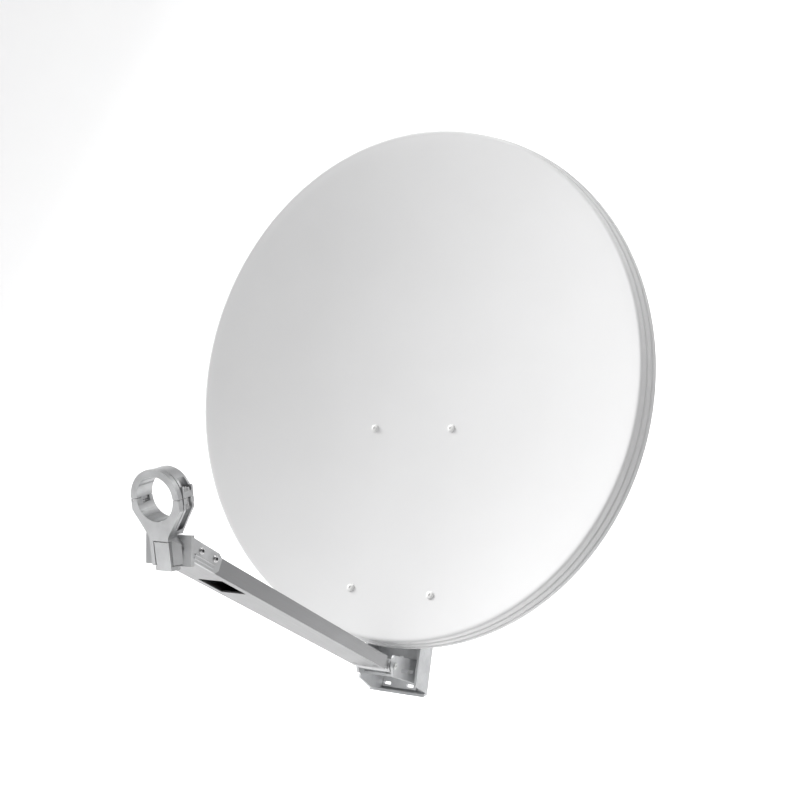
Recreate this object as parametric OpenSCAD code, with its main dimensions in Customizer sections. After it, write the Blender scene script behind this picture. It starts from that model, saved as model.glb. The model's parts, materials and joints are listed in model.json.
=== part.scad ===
// Offset satellite dish with a folding feed arm and a mast bracket.
// The origin is on the mast axis at mid height of the mast clamp, +Z is up the mast,
// and the dish faces -Y. All sizes are in millimetres.
//
// The dish frame has its origin at the centre of the rim, X across, Y into the dish and
// Z up along the plane of the rim. The chord frame follows the line through the dish's bolts.

/* [Reflector] */
// Width of the reflecting face at the crest of the rim
face_w = 636; // [500:1:900]
// Focal length of the parent paraboloid
focal = 404; // [330:1:620]
// Sheet thickness of the reflector
sheet = 1.6; // [1.2:0.1:3]
// Depth of the rim behind its crest
rim_depth = 32; // [26:1:40]
// How far the rim's back edge stands outside its crest
rim_flare = 12; // [9:0.5:18]
// Spacing of the reflector bolts across the dish
bolt_span = 116; // [96:1:150]
// Height of the lower reflector bolts above the rim's lowest point, in the rim's plane
lower_bolt_h = 59.74; // [52:0.01:76]
// Distance from the lower reflector bolts up to the upper ones
row_spacing = 219; // [190:1:240]

/* [Aim] */
// Elevation of the beam above the horizon
elevation = 30; // [20:1:40]
// Travel of the elevation adjustment each way
aim_travel = 20; // [10:1:22]
// Radius of the elevation slot about its pivot
slot_r = 52; // [46:1:56]

/* [Carrier] */
// Width of the carrier channel
carrier_w = 80; // [70:1:90]
// Wall of the carrier channel
carrier_t = 3; // [2.5:0.1:4]
// Depth of the channel's back behind the line of bolt seats
carrier_depth = 68.5; // [64:0.5:76]
// Thickness of the cross straps
strap_t = 3.2; // [2.5:0.1:4]
// Height of the cross straps
strap_h = 26; // [22:1:34]
// Thickness of the pads between the reflector and the straps
pad_t = 6; // [5:0.5:9]
// Diameter of the reflector bolts
bolt_d = 6; // [5:0.5:8]

/* [Feed arm] */
// Width of the arm profile
arm_w = 45; // [40:1:52]
// Height of the arm profile
arm_h = 16; // [14:1:22]
// Wall of the arm profile
arm_t = 1.8; // [1.5:0.1:2.4]
// Length of the arm profile
arm_len = 406; // [330:1:500]
// Rise of the arm from the dish's boresight, in degrees
arm_rise = 18.2; // [16:0.1:24]
// Diameter of the arm's hinge bolt
arm_bolt_d = 6; // [5:0.5:8]
// Length of the cable opening under the arm
cable_len = 41; // [30:1:60]
// Width of the cable opening under the arm
cable_w = 29; // [20:1:32]

/* [Feed clamp] */
// Diameter of the neck that the feed clamp holds
neck_d = 40; // [38:0.5:44]
// Length of the feed clamp along the neck
clamp_len = 20; // [18:1:24]
// Thickness of the clamp ring
ring_t = 6.5; // [6:0.5:9]
// Lean of the clamp's axis above the dish's boresight, in degrees
feed_lean = 18; // [15:0.5:21]
// Width of the clamp's stem
stem_w = 21; // [18:1:24]

/* [Mast clamp] */
// Diameter of the mast that the jaws are set to
mast_d = 48; // [38:1:54]
// Distance of the elevation pivot in front of the mast axis
pivot_reach = 105; // [100:1:125]
// Height of the elevation pivot above the clamp's centre
pivot_rise = 35; // [25:1:45]
// Height of the mast clamp
clamp_h = 112; // [100:1:130]
// Diameter of the mast clamp bolts
mast_bolt_d = 8; // [8:0.5:10]
// Distance of the mast clamp bolts outside the carrier's sides
mast_bolt_out = 16; // [15:0.5:24]

/* [Hidden] */
$fn = 48;
eps = 0.01;

// Offset paraboloid: the lower rim touches the axis of the parent paraboloid.
half_w = face_w / 2;
offset_angle = atan(half_w / (2 * focal));
half_h = half_w / cos(offset_angle);
tilt = elevation - offset_angle;

// Forward height of the face above the plane of the rim, negative in the bowl
function face_a() = pow(sin(offset_angle), 2);
function face_b(v) = -2 * (v + half_h) * sin(offset_angle) * cos(offset_angle)
                     - 4 * focal * cos(offset_angle);
function face_c(x, v) = x * x + pow((v + half_h) * cos(offset_angle), 2)
                        - 4 * focal * (v + half_h) * sin(offset_angle);
function face_n(x, v) = 2 * face_c(x, v)
    / (-face_b(v) + sqrt(pow(face_b(v), 2) - 4 * face_a() * face_c(x, v)));
// Distance from the parent axis, and the face's normal as X, forward and up the rim plane
function face_r(x, v) = (v + half_h) * cos(offset_angle) - face_n(x, v) * sin(offset_angle);
function unit(p) = p / norm(p);
function face_normal(x, v) = unit([-x,
    face_r(x, v) * sin(offset_angle) + 2 * focal * cos(offset_angle),
    -face_r(x, v) * cos(offset_angle) + 2 * focal * sin(offset_angle)]);
// Points of the front and back skins, as X, Y and Z in the dish frame
function skin(x, v, depth) = let (n = face_normal(x, v))
    [x - depth * n.x, -face_n(x, v) + depth * n.y, v - depth * n.z];

// Chord frame through the back of the sheet at the bolts
bolt_x = bolt_span / 2;
lower_bolt_v = lower_bolt_h - half_h;
upper_bolt_v = lower_bolt_v + row_spacing;
low_seat = skin(bolt_x, lower_bolt_v, sheet);
high_seat = skin(bolt_x, upper_bolt_v, sheet);
chord = atan2(high_seat.y - low_seat.y, high_seat.z - low_seat.z);
chord_len = norm([high_seat.y - low_seat.y, high_seat.z - low_seat.z]);
bolt_rows = [0, chord_len];

// The arm's hinge below the rim, in the dish frame and then in the chord frame
hinge_n = 5;
hinge_v = -half_h - 29;
hinge_dy = -hinge_n - low_seat.y;
hinge_dz = hinge_v - low_seat.z;
hinge_cy = hinge_dy * cos(chord) - hinge_dz * sin(chord);
hinge_cz = hinge_dy * sin(chord) + hinge_dz * cos(chord);

// Carrier stations in the chord frame
strap_y = pad_t;
flange_y = strap_y + strap_t;
pivot_y = 42;
pivot_z = chord_len - 72;
carrier_top = chord_len + strap_h / 2;
foot_z = hinge_cz - 28.57;
foot_y = 62;
lip_y = 58;
lip_drop = 3.8;
rim_gap_y = 30;
pivot_dish_y = low_seat.y + pivot_y * cos(chord) + pivot_z * sin(chord);
pivot_dish_z = low_seat.z - pivot_y * sin(chord) + pivot_z * cos(chord);

// Feed arm stations, as distances along the arm from its hinge
hinge_gap = 0.4;
arm_start = 17;
arm_end = arm_start + arm_len;
cheek_t = 3.5;
cheek_x = arm_w / 2 + hinge_gap;
head_lean = 27;
head_t = 3;
plate_t = 4;
head_front_s = arm_end + arm_h / 2 * tan(head_lean) + plate_t / cos(head_lean) + 1.3;
head_screw_s = [arm_end - 26, arm_end - 4.5];
head_screw_h = 3.5;
head_screw_r = 2;
cable_s = arm_end - 99;

// Feed clamp: its ring's centre is placed from the arm's end
neck_r = neck_d / 2;
ring_r = neck_r + ring_t;
ear_x = ring_r;
ear_h = 5;
ear_drop = 10;
stem_top = 33.5;
stem_drop = 59;
ring_along = 45.5;
ring_above = 30.4;
split_gap = 0.5;
flange_len = 5;
groove_len = 1.6;
groove_depth = 2.2;
band_start = flange_len + groove_len;
cap_pin_x = -(ring_r - 2.5);
cap_pin_z = -2;
cap_pin_r = 1.3;
knuckle_r = 2.5;
knuckle_y = 7.5;
knuckle_len = 8;
clamp_screw_r = 2;
clamp_screw_x = neck_r + 3.6;
clamp_ear_y = (band_start + clamp_len) / 2;

// Mast clamp
jaw_angle = 60;
jaw_apex = mast_d / 2 / sin(jaw_angle);
jaw_z = clamp_h / 2 - 18;
jaw_h = 24;
wall_y = -jaw_apex - 12;
wall_t = 6;
bracket_t = 4;
bracket_gap = 0.5;
bracket_x = carrier_w / 2 + bracket_gap;
bar_y = jaw_apex + 8;
bar_t = 7;
mast_bolt_x = carrier_w / 2 + mast_bolt_out;
wing_x = mast_bolt_x + 11;
running = 0.06;
clear = 0.5;

// ---------- frames ----------
module in_dish() {
    translate([0, -pivot_reach, pivot_rise])
        rotate([-tilt, 0, 0])
            translate([0, -pivot_dish_y, -pivot_dish_z])
                children();
}

module in_chord() {
    in_dish()
        translate([0, low_seat.y, low_seat.z])
            rotate([-chord, 0, 0])
                children();
}

// The arm frame: -Y runs out along the arm from its hinge, Z is above it.
module in_arm() {
    in_dish()
        translate([0, -hinge_n, hinge_v])
            rotate([-arm_rise, 0, 0])
                children();
}

// The head frame: Y runs into the head's front plate, Z is up along it.
module in_head() {
    in_arm()
        translate([0, -head_front_s, 0])
            rotate([head_lean, 0, 0])
                children();
}

// The feed frame: Y runs along the neck into the dish, Z is up the clamp.
module in_feed() {
    in_arm()
        translate([0, -(arm_end + ring_along), ring_above])
            rotate([arm_rise + feed_lean, 0, 0])
                children();
}

// ---------- shared shapes ----------
module along_x(len, r) {
    rotate([0, 90, 0])
        cylinder(h = len, r = r, center = true);
}

module back_y(len, r) {
    rotate([-90, 0, 0])
        cylinder(h = len, r = r);
}

module hex_prism(flats, h) {
    cylinder(h = h, r = flats / 2 / cos(30), $fn = 6);
}

// A washer-faced hex nut standing on the XY plane
module flange_nut(d, bore_r) {
    difference() {
        union() {
            cylinder(h = d * 0.22, r = d * 1.05);
            hex_prism(d * 1.62, d * 0.95);
        }
        translate([0, 0, -1])
            cylinder(h = d * 3, r = bore_r);
    }
}

// A hex bolt along +Z whose head is under the XY plane
module hex_bolt(d, len, head) {
    translate([0, 0, -head])
        hex_prism(d * 1.62, head);
    translate([0, 0, -head / 2])
        cylinder(h = len + head / 2, r = d / 2);
}

// A plate whose outline is drawn in Y and Z, centred at x
module side_plate(x, t) {
    translate([x - t / 2, 0, 0])
        rotate([90, 0, 90])
            linear_extrude(height = t)
                children();
}

// ---------- reflector ----------
rim_sides = 96;
face_rings = 10;
crest_in = 6;
face_end = 1 - crest_in / half_w;
// Rim section as steps outward and behind the crest, from the face to the back edge
rim_outer = [[-3.4, 0.8], [-0.8, 0], [1.2, 0.9], [2.2, 3.4],
             [rim_flare * 0.39, rim_depth * 0.4], [rim_flare * 0.52, rim_depth * 0.43],
             [rim_flare * 0.74, rim_depth * 0.74], [rim_flare * 0.87, rim_depth * 0.77],
             [rim_flare, rim_depth]];
rim_inner = [[rim_flare - sheet, rim_depth], [rim_flare * 0.87 - sheet, rim_depth * 0.79],
             [rim_flare * 0.74 - sheet, rim_depth * 0.76],
             [rim_flare * 0.52 - sheet, rim_depth * 0.45],
             [rim_flare * 0.39 - sheet, rim_depth * 0.42], [0.6, 4.2], [-2.2, 2.4]];

function rim_dir(t) = unit([cos(t) / half_w, 0, sin(t) / half_h]);
function rim_point(t, p) = [half_w * cos(t), 0, half_h * sin(t)] + p.x * rim_dir(t) + [0, p.y, 0];
function face_ring(s, depth) = [for (i = [0:rim_sides - 1])
    let (t = 360 * i / rim_sides) skin(s * half_w * cos(t), s * half_h * sin(t), depth)];
function rim_ring(p) = [for (i = [0:rim_sides - 1]) rim_point(360 * i / rim_sides, p)];
function ring_s(j) = face_end * j / face_rings;

reflector_rings = concat([for (j = [1:face_rings]) face_ring(ring_s(j), 0)],
                         [for (p = rim_outer) rim_ring(p)],
                         [for (p = rim_inner) rim_ring(p)],
                         [for (j = [face_rings:-1:1]) face_ring(ring_s(j), sheet)]);
ring_count = len(reflector_rings);

module reflector_skin() {
    points = concat([skin(0, 0, 0)], [for (r = reflector_rings) each r], [skin(0, 0, sheet)]);
    last = len(points) - 1;
    first_fan = [for (i = [0:rim_sides - 1]) [0, 1 + (i + 1) % rim_sides, 1 + i]];
    bands = [for (j = [0:ring_count - 2], i = [0:rim_sides - 1])
        let (a = 1 + j * rim_sides + i, b = 1 + j * rim_sides + (i + 1) % rim_sides)
        each [[a, b, b + rim_sides], [a, b + rim_sides, a + rim_sides]]];
    last_row = 1 + (ring_count - 1) * rim_sides;
    last_fan = [for (i = [0:rim_sides - 1]) [last, last_row + i, last_row + (i + 1) % rim_sides]];
    polyhedron(points = points, faces = concat(first_fan, bands, last_fan), convexity = 4);
}

// Children stand at each bolt's seat and can read its side and its height up the dish.
module at_bolts() {
    for (row = [0, 1], $side = [-1, 1])
        let ($v = row == 0 ? lower_bolt_v : upper_bolt_v)
            translate([$side * bolt_x, 0, bolt_rows[row]])
                children();
}

// Turns -Y onto the outward normal of the sheet at a bolt.
module to_face() {
    n = face_normal($side * bolt_x, $v);
    out = [n.x, -n.y * cos(chord) - n.z * sin(chord), n.z * cos(chord) - n.y * sin(chord)];
    rotate([-asin(out.z), 0, atan2(out.x, -out.y)])
        children();
}

module reflector() {
    color("whitesmoke")
        difference() {
            in_dish()
                reflector_skin();
            in_chord()
                at_bolts()
                    translate([0, -20, 0])
                        back_y(40, bolt_d / 2 + clear);
        }
}

// Carriage bolts with mushroom heads in the bowl
module reflector_bolts() {
    head_r = bolt_d * 1.1;
    dome = bolt_d * 0.5;
    dome_r = (head_r * head_r + dome * dome) / (2 * dome);
    seat_gap = 0.25;
    color("white")
        in_chord()
            at_bolts() {
                to_face()
                    rotate([90, 0, 0])
                        translate([0, 0, sheet + seat_gap])
                            intersection() {
                                translate([0, 0, dome - dome_r])
                                    sphere(r = dome_r, $fn = 64);
                                cylinder(h = dome, r = head_r);
                            }
                translate([0, -sheet - 1, 0])
                    back_y(sheet + 1 + flange_y + bolt_d * 1.5, bolt_d / 2);
            }
}

// Pads cut to the slope of the sheet at each bolt
module reflector_pads() {
    pad_r = bolt_d * 1.5;
    seat_gap = 0.1;
    color("dimgray")
        in_chord()
            at_bolts()
                difference() {
                    translate([0, -3, 0])
                        back_y(pad_t + 3, pad_r);
                    translate([0, -4, 0])
                        back_y(pad_t + 8, bolt_d / 2 + running);
                    to_face()
                        translate([-20, seat_gap - 40, -20])
                            cube([40, 40, 40]);
                }
}

module reflector_nuts() {
    color("silver")
        in_chord()
            at_bolts()
                translate([0, flange_y, 0])
                    rotate([-90, 0, 0])
                        flange_nut(bolt_d, bolt_d / 2 + running);
}

// ---------- carrier ----------
// Flange outline in the chord frame, with the rim's clearance and the foot
module flange_outline() {
    polygon([[carrier_depth, carrier_top], [flange_y, carrier_top], [flange_y, hinge_cz + 63.2],
             [rim_gap_y, hinge_cz + 43.2], [rim_gap_y, hinge_cz + 11.2], [rim_gap_y - 1.5, hinge_cz - 0.8],
             [rim_gap_y + 1, hinge_cz - 19.8],
             [foot_y, foot_z + 1.5], [foot_y, foot_z], [carrier_depth, foot_z]]);
}

// Points along an arc, from one angle to another
function arc(centre, r, from, to, steps) = [for (i = [0:steps])
    let (a = from + (to - from) * i / steps) centre + r * [cos(a), sin(a)]];

// Slot with round ends about the pivot, drawn in Y and Z
module aim_slot() {
    slot_half = mast_bolt_d / 2 + 0.4;
    low = -90 - aim_travel - 1;
    high = -90 + aim_travel + 1;
    cap = 12;
    polygon(concat(arc([0, 0], slot_r + slot_half, low, high, 20),
                   arc(slot_r * [cos(high), sin(high)], slot_half, high + cap, high + 180 - cap, 12),
                   arc([0, 0], slot_r - slot_half, high, low, 20),
                   arc(slot_r * [cos(low), sin(low)], slot_half, low + 180 + cap, low + 360 - cap, 12)));
}

// Lip bent forward along the foot's lower edge
module lip_outline() {
    polygon([[carrier_depth, foot_z + carrier_t], [carrier_depth, foot_z], [lip_y, foot_z - lip_drop],
             [lip_y, foot_z - 0.3], [carrier_depth - carrier_t, foot_z + carrier_t]]);
}

// Slot through the foot and the hinge bracket, for a cable tie
module foot_slot(side) {
    translate([side * bracket_bolt_x - 5.5, base_y - 1, foot_z + 6])
        cube([11, base_t + carrier_t + 2, 3.6]);
}

module carrier() {
    color("lightgray")
        in_chord()
            difference() {
                union() {
                    for (side = [-1, 1])
                        side_plate(side * (carrier_w - carrier_t) / 2, carrier_t)
                            flange_outline();
                    translate([-carrier_w / 2, carrier_depth - carrier_t, foot_z])
                        cube([carrier_w, carrier_t, carrier_top - foot_z]);
                    side_plate(0, carrier_w)
                        lip_outline();
                }
                translate([0, pivot_y, pivot_z])
                    along_x(2 * carrier_w, mast_bolt_d / 2 + running);
                translate([0, pivot_y, pivot_z])
                    side_plate(0, 2 * carrier_w)
                        aim_slot();
                for (z = bracket_bolt_z, side = [-1, 1])
                    translate([side * bracket_bolt_x, carrier_depth - 10, z])
                        back_y(20, bracket_bolt_r + clear);
                for (z = [20, 78, chord_len - 26])
                    translate([0, carrier_depth - 10, z])
                        back_y(20, 13);
                for (side = [-1, 1])
                    foot_slot(side);
                for (row = bolt_rows)
                    translate([0, rivet_y, row])
                        along_x(2 * carrier_w, rivet_r);
            }
}

// ---------- cross straps ----------
rivet_r = 2.5;
ear_len = 20;
rivet_y = flange_y + ear_len / 2;

module strap(row) {
    half = bolt_x + 14;
    difference() {
        union() {
            translate([-half, strap_y, row - strap_h / 2])
                cube([2 * half, strap_t, strap_h]);
            for (side = [-1, 1])
                translate([side * (carrier_w / 2 + strap_t / 2) - strap_t / 2, strap_y,
                           row - strap_h / 2])
                    cube([strap_t, ear_len + strap_t, strap_h]);
        }
        for (side = [-1, 1])
            translate([side * bolt_x, 0, row])
                back_y(40, bolt_d / 2 + clear);
        translate([0, rivet_y, row])
            along_x(2 * carrier_w, rivet_r);
    }
}

module upper_strap() {
    color("lightgray")
        in_chord()
            strap(chord_len);
}

module lower_strap() {
    color("lightgray")
        in_chord()
            strap(0);
}

// Rivets that join the straps' ears to the carrier
module strap_rivets() {
    grip = carrier_t + strap_t;
    color("silver")
        in_chord()
            for (row = bolt_rows, side = [-1, 1])
                translate([side * (carrier_w / 2 + strap_t), rivet_y, row])
                    rotate([0, side * 90, 0]) {
                        cylinder(h = 2, r = rivet_r * 1.9);
                        translate([0, 0, -grip])
                            cylinder(h = grip, r = rivet_r);
                        translate([0, 0, -grip - 2])
                            cylinder(h = 2, r = rivet_r * 1.9);
                    }
}

// Scale on the right flange, read against the tip of the bracket's cheek
module elevation_scale() {
    color("silver")
        in_chord()
            translate([carrier_w / 2, pivot_y, pivot_z])
                rotate([90, 0, 90])
                    linear_extrude(height = 0.2)
                        intersection() {
                            difference() {
                                circle(r = 36);
                                circle(r = 25);
                            }
                            polygon([[0, 0], [-36, 60], [36, 60]]);
                        }
}

// ---------- hinge bracket of the feed arm ----------
bracket_bolt_r = 3;
bracket_bolt_x = 16.5;
base_t = 4;
base_y = carrier_depth - carrier_t - base_t;

// Hinge position in the chord frame
bracket_bolt_z = [hinge_cz + 7, hinge_cz - 6];
base_low = foot_z + carrier_t + 0.3;

// Outline of a cheek, with its lower edge dropped towards the front on the left one
module cheek_outline(left) {
    back = base_y + base_t;
    top = hinge_cz + 12.5;
    difference() {
        union() {
            translate([hinge_cy, hinge_cz])
                circle(r = 6.5);
            translate([hinge_cy + 20, top - 3])
                circle(r = 4.5);
            polygon([[hinge_cy - 6.5, hinge_cz], [hinge_cy - 6.5, hinge_cz + 9], [hinge_cy - 4, top],
                     [back, top], [back, hinge_cz - 17.5], [hinge_cy + 10, hinge_cz - 13.5],
                     [hinge_cy + 1, hinge_cz - 13.5]]);
            if (left)
                polygon([[hinge_cy + 14, hinge_cz - 9], [hinge_cy + 5, hinge_cz - 18.5],
                         [hinge_cy + 43, foot_z - 1.5], [back - 8, foot_z + 1.2], [back, base_low],
                         [back, hinge_cz - 9]]);
        }
        translate([hinge_cy, hinge_cz])
            circle(r = arm_bolt_d / 2 + running);
        translate([hinge_cy + 20, hinge_cz - 6])
            square([36, 4.5]);
    }
}

module arm_bracket() {
    half = cheek_x + cheek_t;
    color("silver")
        in_chord()
            difference() {
                union() {
                    for (side = [-1, 1])
                        side_plate(side * (cheek_x + cheek_t / 2), cheek_t)
                            cheek_outline(side < 0);
                    translate([-half, base_y, base_low])
                        cube([2 * half, base_t, hinge_cz + 12.5 - base_low]);
                    translate([-half, hinge_cy + 16, hinge_cz - 13])
                        cube([2 * half, 22, 3]);
                }
                for (z = bracket_bolt_z, side = [-1, 1])
                    translate([side * bracket_bolt_x, base_y - 5, z])
                        back_y(20, bracket_bolt_r + clear);
                for (side = [-1, 1])
                    foot_slot(side);
            }
}

module bracket_bolts() {
    color("silver")
        in_chord()
            for (z = bracket_bolt_z, side = [-1, 1])
                translate([side * bracket_bolt_x, base_y, z])
                    rotate([-90, 0, 0])
                        hex_bolt(2 * bracket_bolt_r, base_t + carrier_t + 8, 2.4);
}

module bracket_nuts() {
    color("silver")
        in_chord()
            for (z = bracket_bolt_z, side = [-1, 1])
                translate([side * bracket_bolt_x, carrier_depth, z])
                    rotate([-90, 0, 0])
                        flange_nut(2 * bracket_bolt_r, bracket_bolt_r + running);
}

pivot_half = cheek_x + cheek_t;

// Low round head with a hex socket
module arm_pivot_bolt() {
    color("silver")
        in_arm()
            translate([pivot_half, 0, 0])
                rotate([0, -90, 0])
                    difference() {
                        union() {
                            translate([0, 0, -1.8])
                                cylinder(h = 1.8, r = arm_bolt_d * 0.7);
                            translate([0, 0, -1])
                                cylinder(h = 2 * pivot_half + 12, r = arm_bolt_d / 2);
                        }
                        translate([0, 0, -3])
                            hex_prism(arm_bolt_d / 2, 2.4);
                    }
}

module arm_pivot_nut() {
    color("silver")
        in_arm()
            translate([-pivot_half, 0, 0])
                rotate([0, -90, 0])
                    flange_nut(arm_bolt_d, arm_bolt_d / 2 + running);
}

// ---------- feed arm ----------
module feed_arm() {
    color("gainsboro")
        in_arm()
            difference() {
                translate([-arm_w / 2, -arm_end, -arm_h / 2])
                    cube([arm_w, arm_len, arm_h]);
                translate([-arm_w / 2 + arm_t, -arm_end - 1, -arm_h / 2 + arm_t])
                    cube([arm_w - 2 * arm_t, arm_len + 2, arm_h - 2 * arm_t]);
                translate([-cable_w / 2, -cable_s - cable_len, -arm_h])
                    cube([cable_w, cable_len, arm_h]);
                for (s = head_screw_s)
                    translate([0, -s, head_screw_h])
                        along_x(2 * arm_w, head_screw_r + running);
                for (x = block_pin_x)
                    translate([x, -block_pin_s, -arm_h])
                        cylinder(h = 2 * arm_h, r = block_pin_r);
            }
}

block_len = 26;
block_fit = 0.1;
block_pin_x = [-14, 14];
block_pin_s = arm_start + 12;
block_pin_r = 2.5;

// Cast block in the arm's root, with the hinge eye
module hinge_block() {
    in_w = arm_w - 2 * arm_t - 2 * block_fit;
    in_h = arm_h - 2 * arm_t - 2 * block_fit;
    color("darkgray")
        in_arm()
            difference() {
                union() {
                    translate([-in_w / 2, -arm_start - block_len, -in_h / 2])
                        cube([in_w, block_len + arm_start, in_h]);
                    along_x(arm_w, arm_h / 2);
                }
                along_x(2 * arm_w, arm_bolt_d / 2 + running);
                for (x = block_pin_x)
                    translate([x, -block_pin_s, -arm_h])
                        cylinder(h = 2 * arm_h, r = block_pin_r);
            }
}

module hinge_block_pins() {
    color("silver")
        in_arm()
            for (x = block_pin_x)
                translate([x, -block_pin_s, -arm_h / 2 - 1]) {
                    cylinder(h = arm_h + 2, r = block_pin_r);
                    cylinder(h = 1, r = block_pin_r * 1.7);
                    translate([0, 0, arm_h + 1])
                        cylinder(h = 1, r = block_pin_r * 1.7);
                }
}

// Cast head over the arm's end: two side plates, a front plate and a forked tongue inside
head_x = arm_w / 2 + head_t;
tongue_len = 36;
fork_w = 16;
plate_top = 11.5;
plate_bottom = -15.5;
stem_screw_z = [-4.5, 4.5];
stem_screw_r = 2;

module head_side_outline() {
    front_top = -head_front_s - 10 * tan(head_lean) + 1;
    front_low = -head_front_s + 8.5 * tan(head_lean) + 1;
    polygon([[front_top, 10], [-arm_end + 29, 9.5], [-arm_end + 35, 6.5],
             [-arm_end + 35, -5], [-arm_end + 31, -8.5], [front_low, -8.5]]);
}

module arm_head() {
    tongue_w = arm_w - 2 * arm_t - 0.2;
    tongue_h = arm_h - 2 * arm_t - 0.2;
    color("lightgray")
        difference() {
            union() {
                in_arm()
                    for (side = [-1, 1])
                        side_plate(side * (arm_w / 2 + head_t / 2), head_t)
                            head_side_outline();
                in_arm()
                    translate([-tongue_w / 2, -arm_end - 5, -tongue_h / 2])
                        cube([tongue_w, tongue_len + 5, tongue_h]);
                in_head()
                    translate([-head_x, 0, plate_bottom])
                        cube([2 * head_x, plate_t, plate_top - plate_bottom]);
            }
            in_arm() {
                for (s = head_screw_s)
                    translate([0, -s, head_screw_h])
                        along_x(4 * head_x, head_screw_r + running);
                // the fork of the tongue clears the heads of the stem's screws
                translate([-fork_w / 2, -arm_end + 8, -arm_h])
                    mirror([0, 1, 0])
                        cube([fork_w, 8 - 0.5, 2 * arm_h]);
            }
            in_head() {
                translate([-fork_w / 2 - 0.6, plate_t, -20])
                    cube([fork_w + 1.2, 7, 40]);
                for (z = stem_screw_z)
                    translate([0, -1, z])
                        back_y(plate_t + 2, stem_screw_r + running);
                translate([16.5, -1, 0])
                    back_y(plate_t + 2, 1.3);
            }
        }
}

// Socket head screws through the side plates into the tongue
module head_screws() {
    color("silver")
        in_arm()
            for (s = head_screw_s, side = [-1, 1])
                translate([side * head_x, -s, head_screw_h])
                    rotate([0, side * 90, 0])
                        difference() {
                            union() {
                                cylinder(h = 2.5, r = head_screw_r * 1.8);
                                translate([0, 0, -11])
                                    cylinder(h = 12, r = head_screw_r);
                            }
                            translate([0, 0, 1])
                                hex_prism(head_screw_r * 1.6, 3);
                        }
}

// ---------- feed clamp ----------
// Outline of the yoke and stem in the feed frame, seen along the neck
module yoke_outline(r) {
    half = stem_w / 2;
    difference() {
        union() {
            circle(r = r, $fn = 96);
            polygon([[-r, 0], [-r, -ear_drop], [-half, -stem_top], [-half, -stem_drop],
                     [half, -stem_drop], [half, -stem_top], [r, -ear_drop], [r, 0]]);
        }
        translate([-2 * r, -split_gap / 2])
            square([4 * r, 2 * r]);
        circle(r = neck_r, $fn = 96);
    }
}

// A slice along the neck of a shape drawn in X and Z
module neck_slice(start, len) {
    translate([0, start + len, 0])
        rotate([90, 0, 0])
            linear_extrude(height = len)
                children();
}

// Section of the stem across Z, flared out to its seat on the head
module stem_section(drop, height) {
    half = stem_w / 2;
    seat = half + 6;
    translate([0, 0, -drop])
        linear_extrude(height = height)
            polygon([[-half, 0], [half, 0], [half, 1.2], [seat, 9], [seat, clamp_len],
                     [-seat, clamp_len], [-seat, 9], [-half, 1.2]]);
}

tab_x = -5.6;
tab_top = -38;
tab_t = 2.5;
tab_gap = 0.9;
base_gap = 0.5;
clip_t = 4;
clip_screw_x = 5.5;
clip_screw_y = 5;

module clamp_yoke() {
    color("silver")
        difference() {
            in_feed()
                difference() {
                    union() {
                        neck_slice(0, flange_len)
                            yoke_outline(ring_r);
                        neck_slice(flange_len - 0.5, groove_len + 1)
                            yoke_outline(ring_r - groove_depth);
                        neck_slice(band_start, clamp_len - band_start)
                            yoke_outline(ring_r - 0.6);
                        intersection() {
                            stem_section(stem_drop, stem_drop - stem_top);
                            neck_slice(-1, clamp_len + 2)
                                polygon([[-ring_r, -stem_drop - 1], [ring_r, -stem_drop - 1],
                                         [ring_r, -stem_top - 16], [8, -stem_top], [-8, -stem_top],
                                         [-ring_r, -stem_top - 16]]);
                        }
                        // ear under the clamp screw
                        translate([neck_r + 1, band_start, -ear_h - split_gap / 2])
                            cube([ear_x - neck_r - 1, clamp_len - band_start, ear_h]);
                    }
                    // pin bore and the knuckle's recess
                    translate([cap_pin_x, -1, cap_pin_z])
                        back_y(clamp_len + 2, cap_pin_r + running);
                    translate([cap_pin_x - 8, knuckle_y - clear, cap_pin_z - knuckle_r - clear])
                        cube([8 - cap_pin_x - neck_r + 2, knuckle_len + 2 * clear, 20]);
                    // open slot for the clamp screw, and the pocket under the ear
                    translate([clamp_screw_x - clamp_screw_r - 0.8,
                               clamp_ear_y - clamp_screw_r - 0.4, -12])
                        cube([20, 2 * clamp_screw_r + 0.8, 20]);
                    difference() {
                        neck_slice(clamp_ear_y - 4, 8)
                            polygon([[2 * ring_r, -ear_h - split_gap / 2],
                                     [neck_r - 2, -ear_h - split_gap / 2],
                                     [neck_r - 2, -14], [7.5, -30], [2 * ring_r, -30]]);
                        back_y(clamp_len, neck_r + 3, $fn = 96);
                    }
                    // recess of the front tab, and the clip's screw hole
                    translate([tab_x - tab_gap, -1, -stem_drop - 1])
                        cube([stem_w, tab_t + 1 + 0.1, stem_drop + 1 + tab_top + tab_gap]);
                    translate([clip_screw_x, clip_screw_y, -stem_drop - 1])
                        cylinder(h = 12, r = 1.5 + running);
                }
            in_head() {
                translate([-60, 0, -80])
                    cube([120, 60, 80 + plate_top + 0.6]);
                for (z = stem_screw_z)
                    translate([0, -7, z])
                        back_y(8, stem_screw_r + running);
            }
        }
}

// Clip on the stem's foot, with a tab up its front face
module stem_clip() {
    half = stem_w / 2;
    foot = stem_drop + base_gap;
    color("silver")
        difference() {
            in_feed()
                difference() {
                    union() {
                        translate([tab_x, 0, -foot - clip_t])
                            cube([half - tab_x, tab_t, foot + clip_t + tab_top]);
                        intersection() {
                            stem_section(foot + clip_t, clip_t);
                            translate([tab_x - 1.5, 0, -foot - clip_t])
                                cube([2 * half, clamp_len, clip_t]);
                        }
                    }
                    translate([clip_screw_x, clip_screw_y, -foot - clip_t - 1])
                        cylinder(h = clip_t + 2, r = 1.5 + running);
                    translate([clip_screw_x, clip_screw_y, -foot - clip_t - 1])
                        cylinder(h = 2.6, r = 2.3);
                }
            in_head()
                translate([-60, 0, -80])
                    cube([120, 60, 160]);
        }
}

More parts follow.
